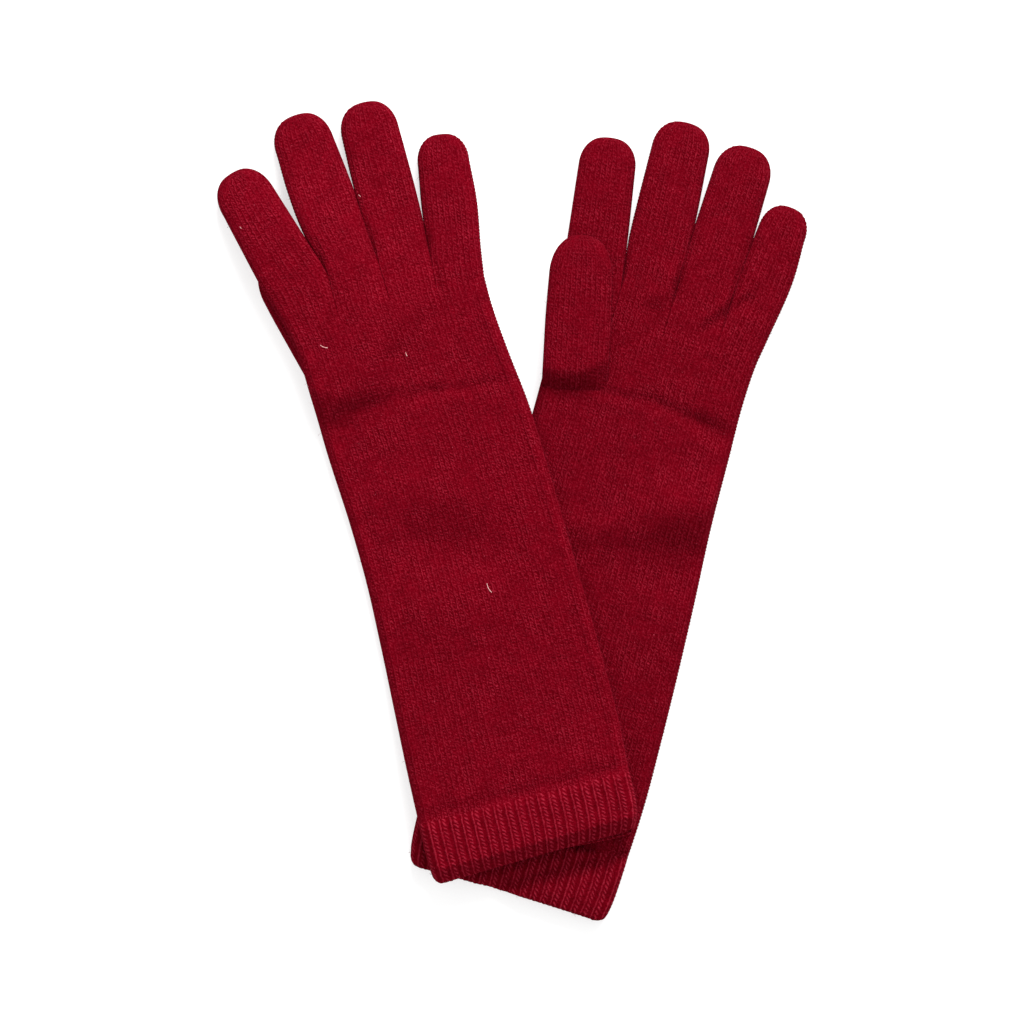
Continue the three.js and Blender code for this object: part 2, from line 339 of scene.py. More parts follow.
def make_object(name, points, faces, loop_uv, sharp_rings=()):
    """A smooth-shaded mesh object. points are in the row frame in millimetres; faces are quads, whose
    last corner is -1 in a triangle."""
    mesh = bpy.data.meshes.new(name)
    faces = np.asarray(faces)
    sizes = np.where(faces[:, 3] < 0, 3, 4)
    loops = faces[faces >= 0]
    mesh.vertices.add(len(points))
    mesh.vertices.foreach_set("co", (points * MM).astype(np.float32).ravel())
    mesh.loops.add(len(loops))
    mesh.loops.foreach_set("vertex_index", loops.astype(np.int32))
    mesh.polygons.add(len(faces))
    starts = np.concatenate([[0], np.cumsum(sizes)[:-1]])
    mesh.polygons.foreach_set("loop_start", starts.astype(np.int32))
    layer = mesh.uv_layers.new(name="knit")
    layer.data.foreach_set("uv", loop_uv[faces >= 0].astype(np.float32).ravel())
    mesh.update(calc_edges=True)
    mesh.validate()
    mesh.shade_smooth()
    obj = new_object(name, mesh)
    if len(sharp_rings):
        mark_sharp(mesh, sharp_rings)
    return obj


def mark_sharp(mesh, rings):
    """Edges along the ends of a sleeve are sharp, so that its end face doesn't bend the skin's shading."""
    owner = np.full(len(mesh.vertices), -1)
    for k, (start, count) in enumerate(rings):
        owner[start:start + count] = k
    pairs = np.zeros(len(mesh.edges) * 2, np.int32)
    mesh.edges.foreach_get("vertices", pairs)
    a, b = owner[pairs[0::2]], owner[pairs[1::2]]
    attribute = mesh.attributes.new("sharp_edge", "BOOLEAN", "EDGE")
    attribute.data.foreach_set("value", (a >= 0) & (a == b))


def strip(first, second, n):
    """Quads between two rings of n points that start at these vertices."""
    i = np.arange(n)
    j = (i + 1) % n
    return np.stack([first + i, first + j, second + j, second + i], axis=1)


def fan(start, tip, n, flip=False):
    """Triangles between a ring of n points and one point in its middle."""
    i = np.arange(n)
    j = (i + 1) % n
    a, b = (j, i) if flip else (i, j)
    return np.stack([start + a, start + b, np.full(n, tip), np.full(n, -1)], axis=1)


def ribbon(path, across, half_width):
    """Points of a narrow strip along a path, two for each point of it."""
    return np.stack([path - across * half_width, path + across * half_width], axis=1).reshape(-1, 3)


def stray_fibres(outer, wale, course, first_vertex, seed):
    """Loose ends of wool that curl over the surface: their points, quads and knit coordinates."""
    rng = np.random.RandomState(seed)
    rows, n = outer.shape[:2]
    normals = outward(outer)
    points, faces, uvs = [], [], []
    for _ in range(rows * n // FIBRE_EVERY):
        r, c = rng.randint(rows // 20 + 1, rows - rows // 20 - 1), rng.randint(n)
        up = normals[r, c]
        forward = np.cross(up, rng.normal(size=3))
        forward /= np.linalg.norm(forward)
        across = np.cross(up, forward)
        length, curl, lift = rng.uniform(1.0, 3.4), rng.uniform(-0.6, 0.6), rng.uniform(0.15, 0.6)
        t = np.linspace(0, 1, 4)[:, None]
        path = outer[r, c] + length * (t * forward + curl * t * t * across) + lift * np.sqrt(t) * up
        path[:, 2] = np.maximum(path[:, 2], 0.0)    # the table stops them
        start = first_vertex + 8 * len(faces)
        points.append(ribbon(path, across, FIBRE_HALF))
        corners = np.array([[0, 1, 3, 2], [2, 3, 5, 4], [4, 5, 7, 6]])
        faces.append(start + corners)
        uvs.append(np.full((3, 4, 2), (math.floor(wale[c]) + 0.25, course[r])))
    return points, faces, uvs


class Skin:
    """The points, faces and knit coordinates of one sleeve while it is put together. wale has the number of
    the wale at each point of a ring, and once more for the first point where the ring closes."""

    def __init__(self, wale, *grids):
        self.wale = wale
        self.points = [grid.reshape(-1, 3) for grid in grids]
        self.faces, self.uvs = [], []

    def count(self):
        return sum(len(p) for p in self.points)

    def add(self, faces, course_a, course_b):
        """One face for each point of a ring, between two rings that lie at these courses."""
        uv = np.zeros((len(faces), 4, 2))
        uv[:, [0, 3], 0] = self.wale[:-1, None]
        uv[:, [1, 2], 0] = self.wale[1:, None]
        uv[:, :2, 1], uv[:, 2:, 1] = course_a, course_b
        self.faces.append(faces)
        self.uvs.append(uv)

    def close(self, ring_points, start, course, flip):
        """Closes a ring that starts at this vertex with a fan round its middle."""
        tip = self.count()
        self.points.append(ring_points.mean(0)[None])
        self.add(fan(start, tip, len(ring_points), flip), course, course)


def skin_object(name, outer, inner, wale, course, closed_tip=False, closed_base=False):
    """One closed sleeve: an outer skin of stitches, an inner one with fewer rows, and the two ends
    between them. outer and inner are grids of points, one ring in each row."""
    rows, n = outer.shape[:2]
    inner_count = inner.shape[0]
    skin = Skin(wale, outer, inner)
    for r in range(rows - 1):
        skin.add(strip(r * n, (r + 1) * n, n), course[r], course[r + 1])
    base = rows * n
    inner_course = np.linspace(course[0], course[-1], inner_count)
    for r in range(inner_count - 1):
        skin.add(strip(base + (r + 1) * n, base + r * n, n), inner_course[r + 1], inner_course[r])
    last_outer, last_inner = (rows - 1) * n, base + (inner_count - 1) * n
    sharp = []
    if closed_base:
        skin.close(outer[0], 0, course[0], flip=True)
        skin.close(inner[0], base, course[0], flip=False)
    else:
        skin.add(strip(base, 0, n), course[0] - 1, course[0])
        sharp.append((0, n))
    if closed_tip:
        skin.close(outer[-1], last_outer, course[-1], flip=False)
        skin.close(inner[-1], last_inner, course[-1], flip=True)
    else:
        skin.add(strip(last_outer, last_inner, n), course[-1], course[-1] + 1)
        sharp.append((last_outer, n))
    loose = stray_fibres(outer, wale, course, skin.count(), seed=rows + n)
    for found, into in zip(loose, (skin.points, skin.faces, skin.uvs)):
        into.extend(found)
    return make_object(name, *map(np.concatenate, (skin.points, skin.faces, skin.uvs)), sharp)


# ---------------- the arm, cuff and hand

def top_columns(wales=TOP_WALES):
    """Points across the upper face of a ring that is so many wales wide, sides included."""
    return wales * COLUMNS_PER_WALE + 1


def under_columns(wales=TOP_WALES):
    """The same for the underside."""
    return wales * UNDER_PER_WALE + 1


def wale_numbers(wales=TOP_WALES):
    """The wale each point of a ring lies on, and once more at the seam where the ring closes."""
    top = np.arange(top_columns(wales)) / COLUMNS_PER_WALE
    under = wales + np.arange(1, under_columns(wales)) / UNDER_PER_WALE
    return np.concatenate([top, under])


def to_world(glove, u, v, z):
    """Points of a glove's plan with their heights, in the row frame."""
    p = to_table(glove, u, v)
    return np.concatenate([p, np.asarray(z)[..., None]], axis=-1)


def arm_grid(glove, inset, rows):
    """Rings at these v, as far inside the glove's surface as inset: u, v, z and share of the upper face."""
    half_thick = THICK / 2 - inset
    us, zs, faces = [], [], []
    for v in rows:
        left, right = float(read(glove["arm"], v, 1)), float(read(glove["arm"], v, 2))
        half = (right - left) / 2 - inset
        rounds = (SIDE_ROUND - inset, SIDE_ROUND - inset)
        x, z, face = ring(half, rounds, half_thick, top_columns(), under_columns())
        us.append((left + right) / 2 + x)
        zs.append(z + THICK / 2 + TABLE_CLEARANCE)
        faces.append(face)
    us, zs, faces = np.array(us), np.array(zs), np.array(faces)
    vs = np.repeat(np.asarray(rows, float)[:, None], us.shape[1], axis=1)
    return us, vs, zs, faces


def cuff_profile(glove, v):
    """Extra height of the cuff's upper layer: its thicker ribbing, a small step down to the plain
    knitting, how far the mouth of the glove gapes, and how far its edge rolls down."""
    step = 0.8 * smooth((CUFF + 0.5 - v) / 3.0) - 1.3 * np.exp(-((v - CUFF - 2.4) / 3.8) ** 2)
    roll = glove["roll"] * (1 - smooth(v / 7.5))
    return step + glove["gape"] * smooth(1.1 - v / 55.0) - roll


def shape_arm(glove, u, v, z, face):
    """Heights of a smooth tube's points once the tube is wrinkled and lies on its bed."""
    upper = np.clip(face, 0, 1)
    z = z + upper * (wrinkles(glove, u, v) + cuff_profile(glove, v))
    return z + bed(glove, u, v)


def cuff_edge(glove, u, v, face):
    """v once the cuff's edge has its own line: its corners are round, it slants a little, and near the
    right corner the lower layer comes out from under the upper one."""
    left, right = read(glove["arm"], v, 1), read(glove["arm"], v, 2)
    inside = np.minimum(u - left, right - u)
    to_corner = np.clip(1 - inside / CORNER, 0, 1)
    corner = CORNER * (1 - np.sqrt(1 - to_corner ** 2)) * smooth(1 - v / 10.0)
    slant = (glove["trim"] - glove["slant"] * u) * smooth(1 - v / 26.0)
    below = 0.4 * glove["gape"] * smooth(-face * 3) * smooth(1 - v / 12.0) * smooth((u - 5) / 35.0)
    return v + corner + slant - below


def lay_arm(glove, u, v, z, face):
    return to_world(glove, u, cuff_edge(glove, u, v, face), shape_arm(glove, u, v, z, face))


def knit_arm(glove, rows):
    """The outer skin of the cuff, forearm and hand as one grid of points in the row frame."""
    u, v, z, face = arm_grid(glove, 0.0, rows)
    points = lay_arm(glove, u, v, z, face)
    wale = wale_numbers()[:-1][None, :]
    course = (rows / COURSE)[:, None]
    plain = RELIEF * plain_stitch(wale, course)
    raised, legs = rib_stitch(wale, course)
    rib = RIB_DEPTH * (raised - 1) + RELIEF * legs + 0.3
    in_cuff = smooth((CUFF + 1.2 - v) / 2.4)
    relief = plain * (1 - in_cuff) + rib * in_cuff
    relief = relief * (0.4 + 0.6 * smooth(v / 2.0))
    return points + outward(points) * relief[..., None], (u, v, z, face)


def inner_rows(count):
    """The rows that the inner skin keeps out of so many, the first and last ones included."""
    keep = list(range(0, count - 1, INNER_STEP))
    if count - 1 - keep[-1] < INNER_STEP // 2 and len(keep) > 1:
        keep.pop()
    return np.array(keep + [count - 1])


def arm_rows(start, end):
    """v of the rows of points from one v to another."""
    count = int(round((end - start) / COURSE * ROWS_PER_COURSE))
    return np.linspace(start, end, count + 1)


def rim_rows(outer, inner_first):
    """Rounds the cuff's edge from the outer skin over to the inner one."""
    steps = 5
    middle = (outer[0] + inner_first) / 2
    reach = (outer[0] - inner_first) / 2
    back = outer[0] - outer[1]
    back = back / np.maximum(np.linalg.norm(back, axis=1, keepdims=True), 1e-9)
    radius = np.linalg.norm(reach, axis=1, keepdims=True)
    rows = []
    for k in range(1, steps + 1):
        a = math.pi * k / (steps + 1)
        rows.append(middle + reach * math.cos(a) + back * radius * math.sin(a))
    return np.array(rows)


def build_arm(glove):
    """The cuff, forearm and hand of one glove. Keeps the hand's last row, which the fingers start from."""
    bend = glove["wrist"] - WRIST_BEND
    cuff_rows, fore_rows, hand_rows = arm_rows(1.0, CUFF), arm_rows(CUFF, bend), arm_rows(bend, SPLIT)
    rows = np.concatenate([cuff_rows, fore_rows[1:], hand_rows[1:]])
    points, (u, v, z, face) = knit_arm(glove, rows)
    cuff_end, fore_end = len(cuff_rows) - 1, len(cuff_rows) + len(fore_rows) - 2
    spans = {"cuff": (0, cuff_end), "forearm": (cuff_end, fore_end), "hand": (fore_end, len(rows) - 1)}
    glove["made"] = {}
    for part, (i, j) in spans.items():
        part_rows, outer = rows[i:j + 1], points[i:j + 1]
        course = part_rows / COURSE
        inner = lay_arm(glove, *arm_grid(glove, FABRIC, part_rows[inner_rows(len(part_rows))]))
        if part == "cuff":
            rim = rim_rows(outer, inner[0])
            outer = np.concatenate([rim[::-1], outer])
            course = np.concatenate([course[0] - np.arange(len(rim), 0, -1) * 0.3, course])
        name = f"{glove['side']}_{part}_knit"
        glove["made"][part] = skin_object(name, outer, inner, wale_numbers(), course)
    last_z = z[-1] + bed(glove, u[-1], v[-1]) + np.clip(face[-1], 0, 1) * wrinkles(glove, u[-1], v[-1])
    glove["split_row"] = {"points": points[-1], "shape": np.stack([u[-1], last_z, face[-1]]),
                          "course": rows[-1] / COURSE}


# ---------------- fingers

def split_columns(glove):
    """Wale numbers, whole, where the fingers part, from left to right, ends included."""
    u = glove["split_row"]["shape"][0, :top_columns()]
    wales = np.arange(top_columns()) / COLUMNS_PER_WALE
    inner = [int(round(float(np.interp(s, u, wales)))) for s in glove["splits"]]
    return [0, *inner, TOP_WALES]


def finger_rows(finger, edges):
    """The rows of a finger from the hand to the tip of its nose: the middle of each row, its direction
    across, half its width, its share of the full thickness, and how far along the finger it lies."""
    lean = math.radians(finger["lean"])
    count = int(round((finger["shoulder"] - SPLIT) / COURSE * ROWS_PER_COURSE))
    middle = np.linspace(SPLIT, finger["shoulder"], count + 1)
    width = read(edges, middle, 2) - read(edges, middle, 1)
    tilt = math.tan(-lean) * smooth((middle - SPLIT) / 26.0) * width / 2
    left = np.stack([read(edges, middle - tilt, 1), middle - tilt], 1)
    right = np.stack([read(edges, middle + tilt, 2), middle + tilt], 1)
    centre, across = (left + right) / 2, right - left
    half = np.linalg.norm(across, axis=1) / 2
    across = across / (2 * half[:, None])
    thick = np.ones(len(middle))
    nose_count = math.ceil(finger["nose"] * 1.45 / COURSE * ROWS_PER_COURSE)
    ahead, narrow, nose_thick = nose_rows(finger["nose"], nose_count, 2.25)
    forward = np.array([-across[-1][1], across[-1][0]])
    centre = np.concatenate([centre, centre[-1] + np.outer(ahead, forward)])
    across = np.concatenate([across, np.repeat(across[-1:], len(ahead), 0)])
    half = np.concatenate([half, half[-1] * narrow])
    thick = np.concatenate([thick, nose_thick])
    step = np.hypot(np.diff(centre[:, 0]), np.diff(centre[:, 1]))
    drop = np.diff(thick) * THICK / 2
    run = np.concatenate([[0], np.cumsum(np.hypot(step, drop))])
    return centre, across, half, thick, run


def nose_rows(length, count, roundness):
    """The rows of a rounded tip: how far ahead each one lies, and its share of the width and thickness."""
    along = np.sin(np.linspace(0, math.pi / 2, count + 2)[1:-1])
    narrow = (1 - along ** roundness) ** (1 / roundness)
    return length * along, narrow, np.sqrt(narrow) * 0.5 + 0.5 * narrow


def side_wall(u, middle_z, face_z, wales_to_columns):
    """A finger's side from its mid-height up or down to a face, which is left out: u, z and share of face."""
    count = int(WALL_WALES * wales_to_columns)
    share = np.linspace(0, 1, count + 1)[:-1]
    return np.stack([np.full(count, u), np.linspace(middle_z, face_z, count + 1)[:-1], share])


def finger_base(glove, k, splits):
    """The hand's last ring, cut where finger k begins and ends, with a wall on each side that it shares with
    another finger. Returns u, z and share of the upper face round the ring, how many points its upper half
    has, which of the hand's points are in it, and where in the ring they start."""
    shape = glove["split_row"]["shape"]
    first, last = splits[k], splits[k + 1]
    top = np.arange(first * COLUMNS_PER_WALE, last * COLUMNS_PER_WALE + 1)
    right_to_left = np.arange(top_columns() - 1, top_columns() + under_columns() - 1) % shape.shape[1]
    under = right_to_left[(TOP_WALES - last) * UNDER_PER_WALE:(TOP_WALES - first) * UNDER_PER_WALE + 1]
    middle_z = (shape[1, top[len(top) // 2]] + shape[1, under[len(under) // 2]]) / 2
    upper, lower = [shape[:, top]], [shape[:, under]]
    below = np.array([[1], [1], [-1]])
    left, right = shape[0, top[0]], shape[0, top[-1]]
    if k > 0:
        upper.insert(0, side_wall(left, middle_z, shape[1, top[0]], COLUMNS_PER_WALE))
        wall = side_wall(left, middle_z, shape[1, under[-1]], UNDER_PER_WALE) * below
        lower.append(wall[:, :0:-1])
    else:
        lower[0] = lower[0][:, :-1]
    if k < 3:
        upper.append(side_wall(right, middle_z, shape[1, top[-1]], COLUMNS_PER_WALE)[:, ::-1])
        wall = side_wall(right, middle_z, shape[1, under[0]], UNDER_PER_WALE) * below
        lower.insert(0, wall[:, 1:])
    else:
        lower[0] = lower[0][:, 1:]
    top_count = sum(part.shape[1] for part in upper)
    start = upper[0].shape[1] if k > 0 else 0
    return np.concatenate(upper + lower, axis=1), top_count, top, start


def side_round(v, crotch):
    """How far in from a finger's side its fabric has reached its full height: sharp in a crotch, rounder
    beyond it. A finger's outer side, which has no crotch, goes on from the hand's."""
    if crotch is None:
        return SIDE_ROUND + 1.8 * smooth((v - SPLIT) / 30)
    return 0.3 + 5.2 * smooth((v - crotch + 4) / 24)


def finger_grid(glove, k, base, top_count, edges, rows):
    """u, v, z and share of the upper face of a finger's rings, which start as the base ring is."""
    centre, across, half, thick, run = rows
    crotches = [None, *glove["crotches"], None]
    n = base.shape[1]
    left, right = edges[0][1:]
    base_z = base[1] - bed(glove, base[0], np.full(n, SPLIT))
    grid = []
    for r in range(len(run)):
        rounds = [min(side_round(centre[r, 1], crotch), half[r] * 0.9) for crotch in crotches[k:k + 2]]
        x, z, face = ring(half[r], rounds, THICK / 2 * thick[r], top_count, n - top_count + 2, 0.12)
        own = smooth(run[r] / 24.0)
        x_base = (base[0] - (left + right) / 2) * half[r] / ((right - left) / 2)
        x = x * own + x_base * (1 - own)
        z = (z + THICK / 2 + TABLE_CLEARANCE) * own + base_z * (1 - own)
        face = face * own + base[2] * (1 - own)
        grid.append([centre[r, 0] + across[r, 0] * x, centre[r, 1] + across[r, 1] * x, z, face])
    return np.array(grid).transpose(1, 0, 2)


def inner_finger(glove, us, vs, zs, rows):
    """The inner skin of a finger, drawn in towards the middle of each ring. It ends before the tip."""
    centre, half = rows[0], rows[2]
    middle = THICK / 2 + TABLE_CLEARANCE
    shrink_z = (THICK / 2 - FABRIC) / (THICK / 2)
    inner = []
    for r in [r for r in range(0, len(half), INNER_STEP) if half[r] > 5.5]:
        shrink = (half[r] - FABRIC) / half[r]
        u = centre[r, 0] + (us[r] - centre[r, 0]) * shrink
        v = centre[r, 1] + (vs[r] - centre[r, 1]) * shrink
        inner.append(to_world(glove, u, v, (zs[r] - middle) * shrink_z + middle + bed(glove, u, v)))
    return np.array(inner)


def finger_wales(first, k, top_count, n):
    """The wale each point of a finger's ring lies on, and once more where the ring closes."""
    steps = np.full(n, 1.0 / COLUMNS_PER_WALE)
    steps[top_count - 1:] = 1.0 / UNDER_PER_WALE
    start = first - WALL_WALES if k > 0 else float(first)
    return start + np.concatenate([[0], np.cumsum(steps)])


def build_finger(glove, name, k, splits):
    """Finger k of a glove, counted from the left. It starts from the hand's last ring, cut at the splits."""
    base, top_count, top, start = finger_base(glove, k, splits)
    finger, row = glove["fingers"][name], glove["split_row"]
    edges = [(SPLIT, row["shape"][0, top[0]], row["shape"][0, top[-1]]), *finger["edges"]]
    rows = finger_rows(finger, edges)
    run = rows[-1]
    us, vs, zs, faces = finger_grid(glove, k, base, top_count, edges, rows)
    own = smooth(run / 20.0)[:, None]
    z = zs + bed(glove, us, vs) + own * np.clip(faces, 0, 1) * wrinkles(glove, us, vs)
    points = to_world(glove, us, vs, z)
    course = row["course"] + run / COURSE
    wale = finger_wales(splits[k], k, top_count, base.shape[1])
    outer = knit_plain(points, wale, course, smooth((1.0 - (run / run[-1])) / 0.03))
    outer[0][start + np.arange(len(top))] = row["points"][top]
    inner = inner_finger(glove, us, vs, zs, rows)
    piece = f"{glove['side']}_{name}_finger_knit"
    glove["made"][name] = skin_object(piece, outer, inner, wale, course, closed_tip=True)


# ---------------- thumbs

def thumb_line(thumb):
    """The thumb's root, the directions along and across it, and its length."""
    base, tip = np.array(thumb["base"]), np.array(thumb["tip"])
    length = np.linalg.norm(tip - base)
    along = (tip - base) / length
    return base, along, np.array([along[1], -along[0]]), length


def thumb_rows(thumb, length):
    """How far along the thumb each of its rows lies, half its width, and its share of the thickness."""
    body_end = length - THUMB_NOSE
    count = int(round((body_end - THUMB_ROOT) / COURSE * ROWS_PER_COURSE))
    body = np.linspace(THUMB_ROOT, body_end, count + 1)
    tip_count = int(THUMB_NOSE * 1.45 / COURSE * ROWS_PER_COURSE)
    ahead, narrow_tip, thin_tip = nose_rows(THUMB_NOSE, tip_count, 2.1)
    root_count = int(THUMB_ROOT * 1.6 / COURSE * ROWS_PER_COURSE)
    root = np.sin(np.linspace(math.pi / 2, 0, root_count + 2)[1:-1])
    s = np.concatenate([THUMB_ROOT - THUMB_ROOT * root, body, body_end + ahead])
    narrow_root = (1 - root ** 9) ** (1 / 9)
    half = thumb["half"] * np.concatenate([narrow_root, np.ones(len(body)), narrow_tip])
    half = half * (1 - 0.05 * smooth((s - 30) / 30))
    thick = np.concatenate([np.sqrt(1 - root ** 2), np.ones(len(body)), thin_tip])
    return s, half, thick


def thumb_grid(glove, rows):
    """u, v and z of the thumb's rings. The left thumb lies on the palm and its root sinks into it."""
    thumb = glove["thumb"]
    base, along, across, _ = thumb_line(thumb)
    columns = top_columns(THUMB_WALES), under_columns(THUMB_WALES)
    grid = []
    for s, half, thick in zip(*rows):
        rounds = [min(6.0, half * 0.9)] * 2
        x, z, face = ring(half, rounds, THICK / 2 * max(thick, 0.04), *columns, 0.1)
        centre = base + along * s
        grid.append([centre[0] + across[0] * x, centre[1] + across[1] * x, z, face])
    us, vs, zs, faces = np.array(grid).transpose(1, 0, 2)
    zs = zs + THICK / 2 + (LAYER if thumb["on_top"] else TABLE_CLEARANCE)
    if thumb["on_top"]:
        inner_side = smooth((us - base[0]) / 14.0)
        sunk = 1 - smooth((rows[0][:, None] + 2.0 + 3.0 * inner_side) / (13.0 + 12.0 * inner_side))
        zs = zs - LAYER * sunk
    return us, vs, zs + np.clip(faces, 0, 1) * 0.5 * wrinkles(glove, us + 200, vs)


def inner_thumb(points, half, thick):
    """The inner skin of a thumb, drawn in towards the middle of each ring. It ends before both ends."""
    inner = []
    for r in [r for r in range(0, len(half), INNER_STEP) if half[r] > 6 and thick[r] > 0.8]:
        centre = points[r].mean(0)
        shrink = np.array([(half[r] - FABRIC) / half[r]] * 2 + [(THICK / 2 - FABRIC) / (THICK / 2)])
        inner.append(centre + (points[r] - centre) * shrink)
    return np.array(inner)


def build_thumb(glove):
    """The thumb, folded flat on the palm: on top of the left glove's palm, underneath the right one's."""
    rows = thumb_rows(glove["thumb"], thumb_line(glove["thumb"])[-1])
    s, half, thick = rows
    points = to_world(glove, *thumb_grid(glove, rows))
    run = np.concatenate([[0], np.cumsum(np.hypot(np.diff(s), np.diff(thick) * THICK / 2))])
    course, wale = run / COURSE, wale_numbers(THUMB_WALES)
    outer = knit_plain(points, wale, course, smooth((run[-1] - run) / 2.5) * smooth(run / 2.5))
    inner = inner_thumb(points, half, thick)
    name = f"{glove['side']}_thumb_knit"
    glove["made"]["thumb"] = skin_object(name, outer, inner, wale, course, closed_tip=True, closed_base=True)


# ---------------- materials

class Nodes:
    """A new material, with short words for its nodes: each call adds one and returns its output."""

    def __init__(self, name):
        self.material = bpy.data.materials.new(name)
        self.material.use_nodes = True
        self.tree = self.material.node_tree
        self.shader = self.tree.nodes["Principled BSDF"]

    def new(self, kind, inputs):
        """A node, with its inputs by name or number, each one a value or another node's output."""
        node = self.tree.nodes.new(f"ShaderNode{kind}")
        self.set(node, inputs)
        return node

    def set(self, node, inputs):
        for name, value in inputs.items():
            if isinstance(value, bpy.types.NodeSocket):
                self.tree.links.new(value, node.inputs[name])
            else:
                node.inputs[name].default_value = value

    def math(self, operation, a, b=0.0, clamp=False):
        node = self.new("Math", {0: a, 1: b})
        node.operation, node.use_clamp = operation, clamp
        return node.outputs[0]

    def add(self, a, b):
        return self.math("ADD", a, b)

    def sub(self, a, b, clamp=False):
        return self.math("SUBTRACT", a, b, clamp)

    def mul(self, a, b, clamp=False):
        return self.math("MULTIPLY", a, b, clamp)

    def noise(self, vector, scale, detail=2.0, roughness=0.5):
        inputs = {"Vector": vector, "Scale": scale, "Detail": detail, "Roughness": roughness}
        return self.new("TexNoise", inputs).outputs["Fac"]

    def ramp(self, value, stops):
        node = self.new("ValToRGB", {"Fac": value})
        for _ in range(len(stops) - 2):
            node.color_ramp.elements.new(0.5)
        for element, (at, colour) in zip(node.color_ramp.elements, stops):
            element.position, element.color = at, (*colour, 1)
        return node.outputs["Color"]

    def mix(self, factor, a, b, kind="MIX"):
        node = self.new("Mix", {})
        node.data_type, node.blend_type = "RGBA", kind
        self.set(node, {"Factor": factor, "A": a, "B": b})
        return node.outputs["Result"]


def fabric_place(n, uv, seed):
    """Where a point lies in the fabric, in millimetres, from its column and row of stitches."""
    node = n.new("VectorMath", {0: uv, 1: (WALE, COURSE, 1.0), 2: (seed, seed, 0.0)})
    node.operation = "MULTIPLY_ADD"
    return node.outputs["Vector"]


def bump_at(n, value, middle, width):
    """1 where value is at the middle, falling off to 0 a width away on both sides."""
    off = n.math("ABSOLUTE", n.sub(value, middle))
    near = n.sub(1.0, n.mul(off, 1.0 / width), clamp=True)
    return n.math("SMOOTH_MIN", n.mul(near, 1.6), 1.0)


def stitches(n, wale, course, rib):
    """How near the surface the legs of the stitches are, 0 to 1, as plain_stitch and rib_stitch have them."""
    raised = 1.0
    if rib:
        pair = n.math("FRACT", n.mul(wale, 0.5))
        raised = bump_at(n, pair, 0.45, 0.66)
        course = n.mul(course, 1 / RIB_COURSE)
        a = n.mul(n.sub(pair, 0.02), 1 / 0.86, clamp=True)
        straight = bump_at(n, a, 0.2, 0.13)
    else:
        a = n.math("FRACT", wale)
        straight = bump_at(n, a, 0.24, 0.2)
    phase = n.add(course, n.mul(a, RIB_SLANT if rib else SLANT))
    wave = n.math("COSINE", n.mul(phase, 2 * math.pi))
    beads = n.add(n.mul(wave, 0.5), 0.5)
    aslant = n.mul(bump_at(n, a, 0.68, 0.3), beads)
    legs = n.math("MAXIMUM", n.mul(straight, 0.8), aslant)
    return n.mul(legs, raised)


def waver(n, place, scale, detail, amount):
    """Noise about 0, by which the rows or columns of stitches stray from straight lines."""
    return n.mul(n.sub(n.noise(place, scale, detail), 0.5), amount)


def wool_height(n, uv, place, rib):
    """Height of the brushed surface: the stitches, softened by a haze of fibres that is thicker in some
    places than in others."""
    split = n.new("SeparateXYZ", {0: uv})
    wale = n.add(split.outputs["X"], waver(n, place, 0.6, 2, 0.4 if rib else 0.9))
    course = n.add(split.outputs["Y"], waver(n, place, 0.42, 1, 0.9 if rib else 1.8))
    legs = stitches(n, wale, course, rib)
    haze = n.noise(place, 0.075, 3, 0.6)
    clarity = n.mul(n.sub(haze, 0.22), 2.0, clamp=True)
    fibres = n.noise(place, 1.9, 3, 0.75)
    tufts = n.noise(place, 0.85, 2, 0.6)
    soft = n.add(n.mul(fibres, 0.6), n.mul(tufts, 0.55))
    soft = n.sub(soft, 0.08)
    if rib:
        strength = n.add(n.mul(clarity, 0.2), 0.24)
    else:
        strength = n.mul(clarity, 0.42)
    drawn = n.mul(n.sub(legs, 0.3 if rib else 0.4), strength)
    return n.add(drawn, soft)


def wool_colour(n, place, height, colours):
    """The wool's colour, read off the height: painted shade in the gaps and a painted highlight on the
    stitches, uneven from place to place, with a few paler specks.
    """
    # painted shade where the surface is low, painted highlight where it is high
    base = n.ramp(height, list(zip((0.24, 0.5, 0.8), colours)))
    blotch = n.noise(place, 0.16, 4, 0.62)
    shade = n.ramp(blotch, [(0.3, (0.84, 0.8, 0.8)), (0.7, (1.15, 1.15, 1.15))])
    base = n.mix(1.0, base, shade, "MULTIPLY")
    speck = n.mul(n.sub(n.noise(place, 1.1, 1, 0.4), 0.74), 9.0, clamp=True)
    return n.mix(n.mul(speck, 0.8), base, (0.36, 0.05, 0.08, 1))


def knit_material(name, rib, seed, colours, depth):
    """Brushed wool knitting. depth makes its three colours darker or paler; the left glove's lower depth is
    painted shade, for the glove that lies underneath.
    """
    n = Nodes(name)
    node = n.new("UVMap", {})
    node.uv_map = "knit"
    uv = node.outputs["UV"]
    place = fabric_place(n, uv, seed)
    height = wool_height(n, uv, place, rib)
    colours = [tuple(depth * c for c in colour) for colour in colours]
    bump = n.new("Bump", {"Strength": 0.6, "Distance": 0.0009, "Height": height})
    n.set(n.shader, {"Base Color": wool_colour(n, place, height, colours), "Normal": bump.outputs["Normal"],
                     "Roughness": 0.95, "Specular IOR Level": 0.005, "Sheen Weight": 0.05,
                     "Sheen Roughness": 0.5, "Sheen Tint": (0.6, 0.03, 0.08, 1)})
    return n.material
